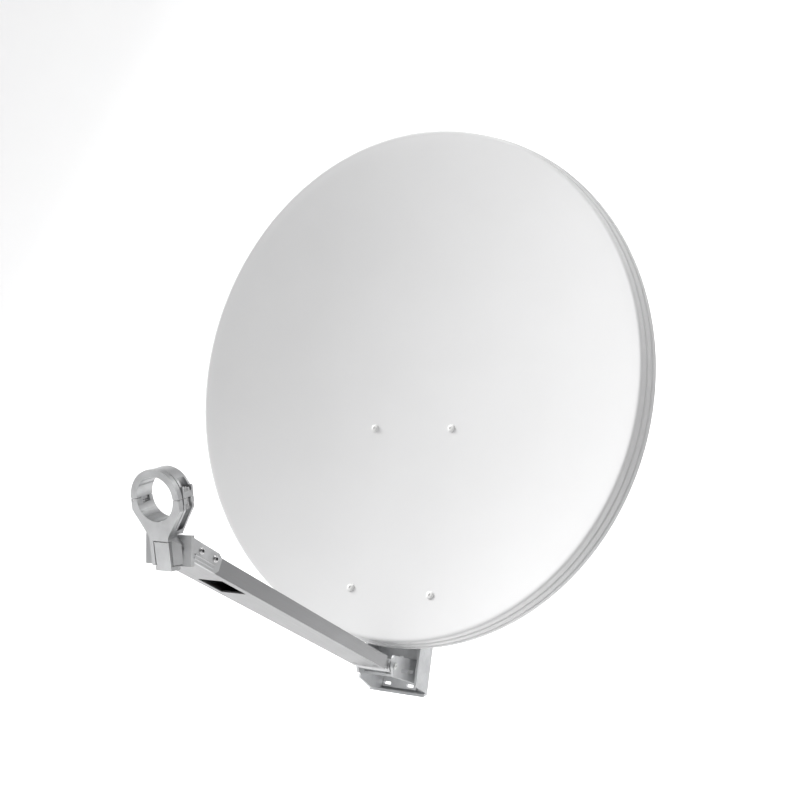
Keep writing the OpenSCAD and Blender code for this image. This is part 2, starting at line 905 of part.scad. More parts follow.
module clip_screw() {
    color("silver")
        in_feed()
            translate([clip_screw_x, clip_screw_y, -stem_drop - base_gap - clip_t]) {
                cylinder(h = 1.6, r = 2.2);
                cylinder(h = clip_t + base_gap + 9, r = 1.5);
            }
}

// Screws from inside the head's front plate into the stem
module stem_screws() {
    color("silver")
        in_head()
            for (z = stem_screw_z)
                translate([0, plate_t, z])
                    rotate([90, 0, 0]) {
                        translate([0, 0, -2.2])
                            cylinder(h = 2.2, r = stem_screw_r * 1.8);
                        translate([0, 0, -1])
                            cylinder(h = plate_t + 6.5, r = stem_screw_r);
                    }
}

module cap_pin() {
    color("silver")
        in_feed()
            translate([cap_pin_x, 0.3, cap_pin_z])
                back_y(clamp_len - 0.6, cap_pin_r);
}

module cap_outline(r) {
    difference() {
        circle(r = r, $fn = 96);
        translate([-2 * r, -2 * r + split_gap / 2])
            square([4 * r, 2 * r]);
        circle(r = neck_r, $fn = 96);
    }
}

module clamp_cap() {
    head_y = 4.4;
    color("silver")
        in_feed()
            difference() {
                union() {
                    neck_slice(0, flange_len)
                        cap_outline(ring_r);
                    neck_slice(flange_len - 0.5, groove_len + 1)
                        cap_outline(ring_r - groove_depth);
                    neck_slice(band_start, clamp_len - band_start)
                        cap_outline(ring_r - 0.6);
                    // ear and the shoulders of the screw's pocket
                    translate([neck_r + 1, band_start, split_gap / 2])
                        cube([ear_x - neck_r - 1, clamp_len - band_start, ear_h + 5]);
                    // knuckle
                    translate([cap_pin_x, knuckle_y, cap_pin_z])
                        back_y(knuckle_len, knuckle_r);
                    translate([cap_pin_x - knuckle_r, knuckle_y, cap_pin_z])
                        cube([2 * knuckle_r, knuckle_len, 6]);
                }
                translate([cap_pin_x, -1, cap_pin_z])
                    back_y(clamp_len + 2, cap_pin_r + running);
                translate([0, -1, 0])
                    back_y(clamp_len + 2, neck_r, $fn = 96);
                translate([clamp_screw_x, clamp_ear_y, -1])
                    cylinder(h = 30, r = clamp_screw_r + running);
                translate([clamp_screw_x - head_y, clamp_ear_y - head_y, ear_h + split_gap / 2])
                    cube([20, 2 * head_y, 30]);
            }
}

// Captive clamp screw; the yoke's slot lets it swing out with the cap.
module clamp_screw() {
    color("silver")
        in_feed()
            translate([clamp_screw_x, clamp_ear_y, ear_h + split_gap / 2])
                difference() {
                    union() {
                        cylinder(h = 3.5, r = clamp_screw_r * 1.8);
                        translate([0, 0, -15])
                            cylinder(h = 16, r = clamp_screw_r);
                    }
                    translate([0, 0, 1.5])
                        hex_prism(clamp_screw_r * 1.6, 3);
                }
}

// ---------- mast bracket ----------
// Outline of a toothed V in X and Y, opening towards +Y from its apex at [0, 0]
function tooth(i, size) = i % 2 == 0 ? 0 : size;
module toothed_v(half, depth, back) {
    steps = 10;
    size = 1.1;
    run = half / steps;
    rise = depth / steps;
    right = [for (i = [0:steps]) [run * i, rise * i + tooth(i, size)]];
    left = [for (i = [steps:-1:1]) [-run * i, rise * i + tooth(i, size)]];
    polygon(concat(right, [[half + 8, depth], [half + 8, -back], [-half - 8, -back], [-half - 8, depth]],
                   left));
}

v_half = 31;
v_depth = v_half / tan(jaw_angle);
shelf_t = 5;

module jaw_shelf(back) {
    linear_extrude(height = shelf_t)
        toothed_v(v_half, v_depth, back);
}

module cheek_plate_outline() {
    lock_angle = tilt + chord;
    lock_y = -pivot_reach - slot_r * sin(lock_angle);
    lock_z = pivot_rise - slot_r * cos(lock_angle);
    difference() {
        union() {
            translate([-pivot_reach, pivot_rise])
                circle(r = 19);
            translate([lock_y, lock_z])
                circle(r = 13);
            polygon([[-pivot_reach - 2, pivot_rise + 19], [-pivot_reach - 18, pivot_rise + 6],
                     [lock_y - 13, lock_z + 2], [lock_y - 5, lock_z - 12],
                     [wall_y, -clamp_h / 2], [wall_y, clamp_h / 2], [wall_y - 10, clamp_h / 2]]);
            translate([-pivot_reach - 2, pivot_rise + 14])
                polygon([[0, 0], [4, 0], [2, 9.5]]);
        }
        translate([-pivot_reach, pivot_rise])
            circle(r = mast_bolt_d / 2 + 0.1);
        translate([lock_y, lock_z])
            circle(r = mast_bolt_d / 2 + 0.1);
        translate([wall_y - 26, 2])
            circle(r = 11);
    }
}

module mast_bracket() {
    color("darkgray")
        difference() {
            union() {
                for (side = [-1, 1])
                    side_plate(side * (bracket_x + bracket_t / 2), bracket_t)
                        cheek_plate_outline();
                translate([-wing_x, wall_y - wall_t, -clamp_h / 2])
                    cube([2 * wing_x, wall_t, clamp_h]);
                for (z = [-jaw_z, jaw_z], dz = [-jaw_h / 2, jaw_h / 2 - shelf_t])
                    translate([0, -jaw_apex, z + dz])
                        jaw_shelf(-wall_y - jaw_apex + eps);
            }
            for (z = [-jaw_z, jaw_z], side = [-1, 1])
                translate([side * mast_bolt_x, wall_y - 2 * wall_t, z])
                    back_y(4 * wall_t, mast_bolt_d / 2 + clear);
            translate([-22, wall_y - 2 * wall_t, -20])
                cube([44, 4 * wall_t, 40]);
        }
}

mast_bolt_len = 124;

module mast_bolts() {
    color("silver")
        for (z = [-jaw_z, jaw_z], side = [-1, 1])
            translate([side * mast_bolt_x, wall_y - wall_t, z])
                rotate([-90, 0, 0])
                    hex_bolt(mast_bolt_d, mast_bolt_len, mast_bolt_d * 0.62);
}

washer_t = 1.6;
side_half = bracket_x + bracket_t + washer_t;

module side_bolt() {
    translate([side_half, 0, 0])
        rotate([0, -90, 0])
            hex_bolt(mast_bolt_d, 2 * side_half + 12, mast_bolt_d * 0.62);
}

module side_nut() {
    translate([-side_half, 0, 0])
        rotate([0, -90, 0])
            flange_nut(mast_bolt_d, mast_bolt_d / 2 + running);
}

module at_pivot() {
    translate([0, -pivot_reach, pivot_rise])
        children();
}

module at_lock() {
    translate([0, -pivot_reach - slot_r * sin(tilt + chord), pivot_rise - slot_r * cos(tilt + chord)])
        children();
}

module pivot_bolt() {
    color("silver")
        at_pivot()
            side_bolt();
}

module pivot_nut() {
    color("silver")
        at_pivot()
            side_nut();
}

module lock_bolt() {
    color("silver")
        at_lock()
            side_bolt();
}

module lock_nut() {
    color("silver")
        at_lock()
            side_nut();
}

module washer_pair() {
    for (side = [-1, 1])
        translate([side * (side_half - washer_t / 2), 0, 0])
            difference() {
                along_x(washer_t, mast_bolt_d);
                along_x(2 * washer_t, mast_bolt_d / 2 + running);
            }
}

module side_washers() {
    color("silver") {
        at_pivot()
            washer_pair();
        at_lock()
            washer_pair();
    }
}

// ---------- mast jaws ----------
module rear_jaw(z) {
    difference() {
        union() {
            translate([-wing_x, bar_y, z - jaw_h / 2])
                cube([2 * wing_x, bar_t, jaw_h]);
            for (dz = [-jaw_h / 2, jaw_h / 2 - shelf_t])
                translate([0, jaw_apex, z + dz])
                    mirror([0, 1, 0])
                        jaw_shelf(bar_y - jaw_apex + eps);
        }
        for (side = [-1, 1])
            translate([side * mast_bolt_x, bar_y - bar_t, z])
                back_y(3 * bar_t, mast_bolt_d / 2 + clear);
    }
}

module jaw_nuts(z) {
    for (side = [-1, 1])
        translate([side * mast_bolt_x, bar_y + bar_t, z])
            rotate([-90, 0, 0])
                flange_nut(mast_bolt_d, mast_bolt_d / 2 + running);
}

module upper_jaw() {
    color("darkgray")
        rear_jaw(jaw_z);
}

module lower_jaw() {
    color("darkgray")
        rear_jaw(-jaw_z);
}

module upper_jaw_nuts() {
    color("silver")
        jaw_nuts(jaw_z);
}

module lower_jaw_nuts() {
    color("silver")
        jaw_nuts(-jaw_z);
}

reflector();
reflector_bolts();
reflector_pads();
reflector_nuts();
carrier();
upper_strap();
lower_strap();
strap_rivets();
elevation_scale();
arm_bracket();
bracket_bolts();
bracket_nuts();
arm_pivot_bolt();
arm_pivot_nut();
feed_arm();
hinge_block();
hinge_block_pins();
arm_head();
head_screws();
clamp_yoke();
stem_screws();
stem_clip();
clip_screw();
cap_pin();
clamp_cap();
clamp_screw();
mast_bracket();
mast_bolts();
pivot_bolt();
pivot_nut();
lock_bolt();
lock_nut();
side_washers();
upper_jaw();
upper_jaw_nuts();
lower_jaw();
lower_jaw_nuts();
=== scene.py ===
import json
import math

import bmesh
import bpy
from mathutils import Matrix, Vector


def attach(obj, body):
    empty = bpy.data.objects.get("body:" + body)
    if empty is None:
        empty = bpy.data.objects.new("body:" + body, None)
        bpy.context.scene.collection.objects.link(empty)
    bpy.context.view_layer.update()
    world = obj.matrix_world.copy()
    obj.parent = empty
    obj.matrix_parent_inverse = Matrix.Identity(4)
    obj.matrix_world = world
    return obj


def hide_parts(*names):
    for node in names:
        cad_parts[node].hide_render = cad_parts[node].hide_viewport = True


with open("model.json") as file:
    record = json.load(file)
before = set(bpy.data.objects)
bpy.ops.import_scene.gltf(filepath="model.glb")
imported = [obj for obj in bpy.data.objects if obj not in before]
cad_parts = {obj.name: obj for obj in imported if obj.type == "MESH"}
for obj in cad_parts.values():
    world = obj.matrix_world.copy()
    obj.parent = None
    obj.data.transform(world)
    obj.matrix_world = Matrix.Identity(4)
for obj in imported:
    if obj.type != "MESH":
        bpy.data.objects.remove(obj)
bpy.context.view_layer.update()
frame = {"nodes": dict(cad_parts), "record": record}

bl_info = {
    "name": "Satellite dish",
    "version": (1, 0, 0),
    "blender": (4, 5, 0),
    "location": "View3D > Sidebar > Satellite dish",
    "description": "Offset dish with a folding feed arm, a feed clamp and a mast clamp",
    "category": "Object",
}

# Lengths are in metres and the dish faces -Y. These follow the frame's own dimensions.
MM = 0.001
ELEVATION = 30.0
SHEET = 1.6 * MM
BOLT_X = 58 * MM
LOWER_BOLT_H = 59.74 * MM
ROW_SPACING = 219 * MM
PIVOT = Vector((0, -105 * MM, 35 * MM))
PIVOT_BEHIND_SEATS = 42 * MM
PIVOT_BELOW_ROW = 72 * MM
HINGE_AHEAD = 5 * MM
HINGE_BELOW_RIM = 29 * MM
ARM_RISE = 18.2
ARM_END = 423 * MM
ARM_W = 45 * MM
ARM_H = 16 * MM
FEED_LEAN = 18.0
RING_ALONG = 45.5 * MM
RING_ABOVE = 30.4 * MM
NECK_R = 20 * MM
HEAD_WALL = 3 * MM
HEAD_SCREW_H = 3.5 * MM
CLAMP_LEN = 20 * MM

# Merging, flattening and rounding of the copies of frame nodes
MERGE_DISTANCE = 3e-6
FLAT_DEGREES = 0.6
EDGE_DEGREES = 32

# Ticks of the elevation scale, about the pivot
SCALE_FACE_X = 40.2 * MM
TICK_DEGREES = 2.6
TICKS_EACH_WAY = 10
TICK_RADIUS = 34 * MM
LONG_TICK_RADIUS = 33.2 * MM

# Pins, trim lines and screws of the arm, measured along it and across it
PIN_BACK = 29 * MM
PIN_ACROSS = 14 * MM
TRIM_START = 20 * MM
TRIM_END = ARM_END - 38 * MM
TRIM_HEIGHTS = (-6.2 * MM, 6.4 * MM)
HEAD_SCREWS_BACK = (26 * MM, 4.5 * MM)
HEAD_RIBS_BACK = 12 * MM
HEAD_RIB_HEIGHTS = (-2.2 * MM, -5.4 * MM)
BORE_RIB_DEGREES = 18

# Studio: where the sweep ends and turns up, how it glows along each axis as
# (axis, from, to, strength before, strength after), and the camera
SWEEP_FRONT = -4.5
SWEEP_BEND = 2.2
SWEEP_RADIUS = 0.8
SWEEP_TOP = 4.5
SWEEP_HALF_WIDTH = 7.0
SWEEP_GLOW = (("X", 0.9, 2.4, 0.6, 0.04), ("X", -6.8, -5.2, 0.1, 1.0),
              ("Y", 0.3, 0.9, 0.02, 1.0), ("Z", 3.1, 4.4, 1.0, 0.1))
WORLD_COLOUR = (0.24, 0.24, 0.245, 1)
WORLD_STRENGTH = 0.74
CAMERA_AT = (0.53427, -1.22827, 0.12682)
CAMERA_TURN = (91.348, 0, 26.626)

BODIES = {node: body for body, nodes in frame["record"]["behaviour"]["bodies"].items()
          for node in nodes}
SLOTS = {row["node"]: row["material_slot"] for row in frame["record"]["subparts"]}


# ---------- settings ----------
class DishSettings(bpy.types.PropertyGroup):
    """Sizes and colours of the reflector and its bolts."""
    width: bpy.props.FloatProperty(
        name="Width", description="Width of the reflecting face at the crest of its rim",
        default=0.636, unit="LENGTH")
    focal: bpy.props.FloatProperty(
        name="Focal length", description="Focal length of the parent paraboloid",
        default=0.404, unit="LENGTH")
    coat: bpy.props.FloatVectorProperty(
        name="Coat", description="Colour of the reflector's powder coat",
        default=(0.76, 0.76, 0.76), size=3, subtype="COLOR")
    head_radius: bpy.props.FloatProperty(
        name="Bolt head radius", description="Radius of the mushroom heads in the bowl",
        default=0.0052, unit="LENGTH")


class MetalSettings(bpy.types.PropertyGroup):
    """Colours and edges of the metal pieces."""
    arm: bpy.props.FloatVectorProperty(
        name="Arm", description="Colour of the brushed arm profile",
        default=(0.34, 0.34, 0.345), size=3, subtype="COLOR")
    casting: bpy.props.FloatVectorProperty(
        name="Castings", description="Colour of the cast feed clamp and arm head",
        default=(0.66, 0.665, 0.67), size=3, subtype="COLOR")
    bracket: bpy.props.FloatVectorProperty(
        name="Hinge bracket", description="Colour of the steel bracket at the arm's hinge",
        default=(0.78, 0.79, 0.80), size=3, subtype="COLOR")
    zinc: bpy.props.FloatVectorProperty(
        name="Galvanising", description="Colour of the galvanised carrier, straps and clamp",
        default=(0.70, 0.71, 0.72), size=3, subtype="COLOR")
    edge: bpy.props.FloatProperty(
        name="Edge rounding", description="Scale of the small rounding on every metal edge",
        default=1.0, min=0.1, max=2.0)


class StageSettings(bpy.types.PropertyGroup):
    """Camera, floor and lights."""
    floor: bpy.props.FloatProperty(
        name="Floor height", description="Height of the pale floor under the part",
        default=-0.8, unit="LENGTH")
    lens: bpy.props.FloatProperty(
        name="Lens", description="Focal length of the camera in millimetres", default=40.184)
    key: bpy.props.FloatProperty(
        name="Key light", description="Power of the large light at the front left",
        default=136.0, unit="POWER")
    fill: bpy.props.FloatProperty(
        name="Fill light", description="Power of the soft fill from the front",
        default=14.0, unit="POWER")
    top: bpy.props.FloatProperty(
        name="Top light", description="Power of the soft light overhead",
        default=20.0, unit="POWER")
    rim: bpy.props.FloatProperty(
        name="Rim light", description="Power of the light behind the right side",
        default=22.0, unit="POWER")


SETTINGS = (("dish", DishSettings), ("metal", MetalSettings), ("stage", StageSettings))


def settings(name):
    """One of this object's settings groups in the open scene."""
    return getattr(bpy.context.scene, "satellite_" + name)


# ---------- frames ----------
def turned(degrees):
    """A turn about X."""
    return Matrix.Rotation(math.radians(degrees), 4, "X")


def moved(x, y, z):
    """A move."""
    return Matrix.Translation((x, y, z))


def face_angle():
    """The angle between the parent paraboloid's axis and the dish's facing."""
    dish = settings("dish")
    return math.atan(dish.width / 2 / (2 * dish.focal))


def half_height():
    """Half the height of the face, whose outline is an ellipse."""
    return settings("dish").width / 2 / math.cos(face_angle())


def face_point(x, v, behind):
    """A point of the sheet and the outward normal there, in the dish frame."""
    a = face_angle()
    focal = settings("dish").focal
    up = v + half_height()
    qa = math.sin(a) ** 2
    qb = -2 * up * math.sin(a) * math.cos(a) - 4 * focal * math.cos(a)
    qc = x * x + (up * math.cos(a)) ** 2 - 4 * focal * up * math.sin(a)
    n = 2 * qc / (-qb + math.sqrt(qb * qb - 4 * qa * qc))
    r = up * math.cos(a) - n * math.sin(a)
    normal = Vector((-x, -(r * math.sin(a) + 2 * focal * math.cos(a)),
                     -r * math.cos(a) + 2 * focal * math.sin(a))).normalized()
    return Vector((x, -n, v)) - behind * normal, normal


class Frames:
    """The frames that the part is built in, as matrices."""

    def __init__(self):
        low_v = LOWER_BOLT_H - half_height()
        low = face_point(BOLT_X, low_v, SHEET)[0]
        high = face_point(BOLT_X, low_v + ROW_SPACING, SHEET)[0]
        self.bolt_rows = (low_v, low_v + ROW_SPACING)
        self.chord = math.degrees(math.atan2(high.y - low.y, high.z - low.z))
        length = math.hypot(high.y - low.y, high.z - low.z)
        in_dish = moved(0, low.y, low.z) @ turned(-self.chord)
        self.scale_centre = Vector((0, PIVOT_BEHIND_SEATS, length - PIVOT_BELOW_ROW))
        pivot = in_dish @ self.scale_centre
        self.tilt = ELEVATION - math.degrees(face_angle())
        self.dish = Matrix.Translation(PIVOT) @ turned(-self.tilt) @ moved(0, -pivot.y, -pivot.z)
        self.chord_frame = self.dish @ in_dish
        self.arm = (self.dish @ moved(0, -HINGE_AHEAD, -half_height() - HINGE_BELOW_RIM)
                    @ turned(-ARM_RISE))
        self.feed = (self.arm @ moved(0, -(ARM_END + RING_ALONG), RING_ABOVE)
                     @ turned(ARM_RISE + FEED_LEAN))


# ---------- meshes ----------
def new_object(name, mesh):
    """A mesh object at the origin, linked to the scene."""
    obj = bpy.data.objects.new(name, mesh)
    bpy.context.scene.collection.objects.link(obj)
    return obj


def made_plain(obj):
    """Turns the evaluated result into the object's own mesh and drops its modifiers."""
    graph = bpy.context.evaluated_depsgraph_get()
    mesh = bpy.data.meshes.new_from_object(
        obj.evaluated_get(graph), preserve_all_data_layers=True, depsgraph=graph)
    obj.modifiers.clear()
    obj.data = mesh
    mesh.name = obj.name
    return obj


def smoothed(mesh, degrees):
    """Smooth shading with sharp edges past an angle."""
    mesh.polygons.foreach_set("use_smooth", [True] * len(mesh.polygons))
    mesh.set_sharp_from_angle(angle=math.radians(degrees))


def finished(obj, node, *others):
    """Rides the piece on its node's body, in the node's place, and hides the node and any others."""
    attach(obj, BODIES[node])
    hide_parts(node, *others)
    return obj


def rounded_piece(name, node, material, edge):
    """A merged copy of a frame node, whose rounded edges are marked as worn."""
    bm = bmesh.new()
    bm.from_mesh(frame["nodes"][node].data)
    bmesh.ops.remove_doubles(bm, verts=bm.verts, dist=MERGE_DISTANCE)
    bmesh.ops.dissolve_limit(bm, angle_limit=math.radians(FLAT_DEGREES), verts=bm.verts,
                             edges=bm.edges)
    mesh = bpy.data.meshes.new(name)
    bm.to_mesh(mesh)
    bm.free()
    # The bevel's faces take the second slot, until they are marked.
    mesh.materials.clear()
    for _ in range(2):
        mesh.materials.append(material)
    mesh.polygons.foreach_set("material_index", [0] * len(mesh.polygons))
    smoothed(mesh, EDGE_DEGREES)
    obj = new_object(name, mesh)
    bevel = obj.modifiers.new("edges", "BEVEL")
    bevel.width = edge * MM * settings("metal").edge
    bevel.segments = 2
    bevel.limit_method = "ANGLE"
    bevel.angle_limit = math.radians(EDGE_DEGREES)
    bevel.material = 1
    weighted = obj.modifiers.new("shading", "WEIGHTED_NORMAL")
    weighted.keep_sharp = True
    weighted.weight = 100
    made_plain(obj)
    mesh = obj.data
    worn = mesh.attributes.new("worn_edge", "FLOAT", "FACE").data
    worn.foreach_set("value", [float(face.material_index) for face in mesh.polygons])
    mesh.polygons.foreach_set("material_index", [0] * len(mesh.polygons))
    mesh.materials.pop(index=1)
    return finished(obj, node)


def lathe(profile, sides):
    """A closed turned solid about Z from (radius, height) points that end on the axis."""
    bm = bmesh.new()
    rings = []
    for radius, height in profile:
        if radius < 1e-9:
            rings.append([bm.verts.new((0, 0, height))])
        else:
            rings.append([bm.verts.new((radius * math.cos(2 * math.pi * i / sides),
                                        radius * math.sin(2 * math.pi * i / sides), height))
                          for i in range(sides)])
    for low, high in zip(rings, rings[1:]):
        for i in range(sides):
            k = (i + 1) % sides
            corners = [low[i % len(low)], low[k % len(low)],
                       high[k % len(high)], high[i % len(high)]]
            bm.faces.new(list(dict.fromkeys(corners)))
    bmesh.ops.recalc_face_normals(bm, faces=bm.faces)
    return bm


def bar(size, chamfer):
    """A small bar centred on X and Y that stands on the XY plane, with its top edges cut."""
    bm = bmesh.new()
    x, y, z = (value / 2 for value in size)
    signs = ((-1, -1), (1, -1), (1, 1), (-1, 1))
    low = [bm.verts.new((sx * x, sy * y, 0)) for sx, sy in signs]
    mid = [bm.verts.new((sx * x, sy * y, 2 * z - chamfer)) for sx, sy in signs]
    top = [bm.verts.new((sx * (x - chamfer), sy * (y - chamfer), 2 * z)) for sx, sy in signs]
    bm.faces.new(low[::-1])
    bm.faces.new(top)
    for a, b in ((low, mid), (mid, top)):
        for i in range(4):
            k = (i + 1) % 4
            bm.faces.new((a[i], a[k], b[k], b[i]))
    return bm


# ---------- node trees ----------
class Field:
    """A number field in a node tree, so that a formula can be written as one."""

    def __init__(self, tree, socket):
        self.tree = tree
        self.socket = socket

    def math(self, operation, *others):
        node = self.tree.nodes.new("ShaderNodeMath")
        node.operation = operation
        for slot, value in zip(node.inputs, (self, *others)):
            if isinstance(value, Field):
                self.tree.links.new(value.socket, slot)
            else:
                slot.default_value = value
        return Field(self.tree, node.outputs[0])

    def __add__(self, other):
        return self.math("ADD", other)

    def __sub__(self, other):
        return self.math("SUBTRACT", other)

    def __mul__(self, other):
        return self.math("MULTIPLY", other)

    def __truediv__(self, other):
        return self.math("DIVIDE", other)

    def __neg__(self):
        return self.math("MULTIPLY", -1.0)

    def sin(self):
        return self.math("SINE")

    def cos(self):
        return self.math("COSINE")

    def root(self):
        return self.math("SQRT")


class Tree:
    """A geometry node tree with named inputs, whose modifier is set by identifier."""

    def __init__(self, name):
        self.tree = bpy.data.node_groups.new(name, "GeometryNodeTree")
        for side in ("INPUT", "OUTPUT"):
            self.tree.interface.new_socket(
                "Geometry", in_out=side, socket_type="NodeSocketGeometry")
        self.values = {}
        self.start = self.tree.nodes.new("NodeGroupInput")

    def input(self, name, kind, value):
        socket = self.tree.interface.new_socket(
            name, in_out="INPUT", socket_type="NodeSocket" + kind)
        self.values[socket.identifier] = value
        return Field(self.tree, self.start.outputs[name])

    def attribute(self, name, kind="FLOAT"):
        node = self.tree.nodes.new("GeometryNodeInputNamedAttribute")
        node.data_type = kind
        node.inputs["Name"].default_value = name
        return Field(self.tree, node.outputs["Attribute"])

    def node(self, kind, links, **settings_of_node):
        node = self.tree.nodes.new(kind)
        for key, value in settings_of_node.items():
            setattr(node, key, value)
        for key, socket in links.items():
            self.tree.links.new(socket, node.inputs[key])
        return node

    def finish(self, geometry, materials):
        """Realize Instances, then one Set Material for each (material field, selection or None)."""
        end = self.node("GeometryNodeRealizeInstances", {"Geometry": geometry}).outputs["Geometry"]
        for material, selection in materials:
            links = {"Geometry": end, "Material": material.socket}
            if selection:
                links["Selection"] = selection.socket
            end = self.node("GeometryNodeSetMaterial", links).outputs["Geometry"]
        output = self.tree.nodes.new("NodeGroupOutput")
        self.tree.links.new(end, output.inputs["Geometry"])

    def apply(self, obj):
        modifier = obj.modifiers.new(self.tree.name, "NODES")
        modifier.node_group = self.tree
        for identifier, value in self.values.items():
            modifier[identifier] = value
        return made_plain(obj)


def repeated(name, prototype, places, material, second=None):
    """Copies of a small mesh on places given as (point, facing, along).

    Faces marked "inset" take the second material.
    """
    small = bpy.data.meshes.new(name + "_one")
    prototype.to_mesh(small)
    prototype.free()
    one = new_object(name + "_one", small)
    mesh = bpy.data.meshes.new(name)
    mesh.from_pydata([tuple(point) for point, facing, along in places], [], [])
    for key, index in (("facing", 1), ("along", 2)):
        values = mesh.attributes.new(key, "FLOAT_VECTOR", "POINT").data
        for value, place in zip(values, places):
            value.vector = place[index]
    tree = Tree(name)
    shown = tree.input("Piece", "Object", one)
    size = tree.input("Size", "Float", 1.0)
    finish = tree.input("Material", "Material", material)
    info = tree.node("GeometryNodeObjectInfo", {"Object": shown.socket})
    stand = tree.node("FunctionNodeAlignRotationToVector",
                      {"Vector": tree.attribute("facing", "FLOAT_VECTOR").socket}, axis="Z")
    turn = tree.node("FunctionNodeAlignRotationToVector",
                     {"Vector": tree.attribute("along", "FLOAT_VECTOR").socket,
                      "Rotation": stand.outputs["Rotation"]}, axis="X", pivot_axis="Z")
    points = tree.node("GeometryNodeMeshToPoints", {"Mesh": tree.start.outputs["Geometry"]})
    copies = tree.node("GeometryNodeInstanceOnPoints",
                       {"Points": points.outputs["Points"], "Instance": info.outputs["Geometry"],
                        "Rotation": turn.outputs["Rotation"], "Scale": size.socket})
    layers = [(finish, None)]
    if second:
        layers.append((tree.input("Inset material", "Material", second),
                       tree.attribute("inset", "BOOLEAN")))
    tree.finish(copies.outputs["Instances"], layers)
    obj = tree.apply(new_object(name, mesh))
    bpy.data.objects.remove(one)
    smoothed(obj.data, 34)
    return obj


# ---------- finishes ----------
RANGE_INPUTS = ("From Min", "From Max", "To Min", "To Max")


def surface(name, colour, deep, roughness, metallic, grain, stretch=(1, 1, 1), turn=0.0,
            bump=0.1, depth=0.05, patch=12.0, wear=None, cells=0.0, coat=0.0):
    """A finish with patches, grain, bump, roughness variation and worn edges, on Object coordinates."""
    mat = bpy.data.materials.new(name)
    mat.use_nodes = True
    nodes = mat.node_tree.nodes
    link = mat.node_tree.links.new
    shader = nodes["Principled BSDF"]
    shader.inputs["Metallic"].default_value = metallic
    shader.inputs["Coat Weight"].default_value = coat
    where = nodes.new("ShaderNodeTexCoord").outputs["Object"]
    mapping = nodes.new("ShaderNodeMapping")
    mapping.vector_type = "TEXTURE"
    mapping.inputs["Rotation"].default_value = (math.radians(turn), 0, 0)
    mapping.inputs["Scale"].default_value = stretch
    link(where, mapping.inputs["Vector"])

    def noise(source, scale, detail):
        node = nodes.new("ShaderNodeTexNoise")
        node.inputs["Scale"].default_value = scale
        node.inputs["Detail"].default_value = detail
        link(source, node.inputs["Vector"])
        return node.outputs["Fac"]

    def ranged(source, low, high, to_low, to_high):
        node = nodes.new("ShaderNodeMapRange")
        for key, value in zip(RANGE_INPUTS, (low, high, to_low, to_high)):
            node.inputs[key].default_value = value
        link(source, node.inputs["Value"])
        return node.outputs["Result"]

    def mixed(factor, first, second):
        node = nodes.new("ShaderNodeMix")
        node.data_type = "RGBA"
        link(factor, node.inputs["Factor"])
        for socket, value in zip([s for s in node.inputs if s.type == "RGBA"], (first, second)):
            if isinstance(value, bpy.types.NodeSocket):
                link(value, socket)
            else:
                socket.default_value = (*value, 1)
        return next(s for s in node.outputs if s.type == "RGBA")

    fine = noise(mapping.outputs["Vector"], grain, 4)
    broad = noise(where, patch, 3)
    base = mixed(ranged(broad, 0.35, 0.65, 0, 1), colour, deep)
    base = mixed(ranged(fine, 0.62, 0.78, 0, 0.35), base, tuple(0.82 * c for c in colour))
    if cells:
        spangle = nodes.new("ShaderNodeTexVoronoi")
        spangle.inputs["Scale"].default_value = cells
        link(where, spangle.inputs["Vector"])
        base = mixed(ranged(spangle.outputs["Color"], 0.1, 0.9, 0, 0.5), base,
                     tuple(0.75 * c for c in colour))
    if wear:
        worn = nodes.new("ShaderNodeAttribute")
        worn.attribute_name = "worn_edge"
        base = mixed(ranged(worn.outputs["Fac"], 0, 1, 0, 0.7), base, wear)
    link(base, shader.inputs["Base Color"])
    link(ranged(fine, 0.3, 0.7, roughness - 0.06, roughness + 0.08), shader.inputs["Roughness"])
    bumps = nodes.new("ShaderNodeBump")
    bumps.inputs["Strength"].default_value = bump
    bumps.inputs["Distance"].default_value = depth * MM
    link(fine, bumps.inputs["Height"])
    link(bumps.outputs["Normal"], shader.inputs["Normal"])
    return mat


FINISHES = {}


def shade(colour, factor):
    """A colour made darker by a factor."""
    return tuple(factor * c for c in colour)


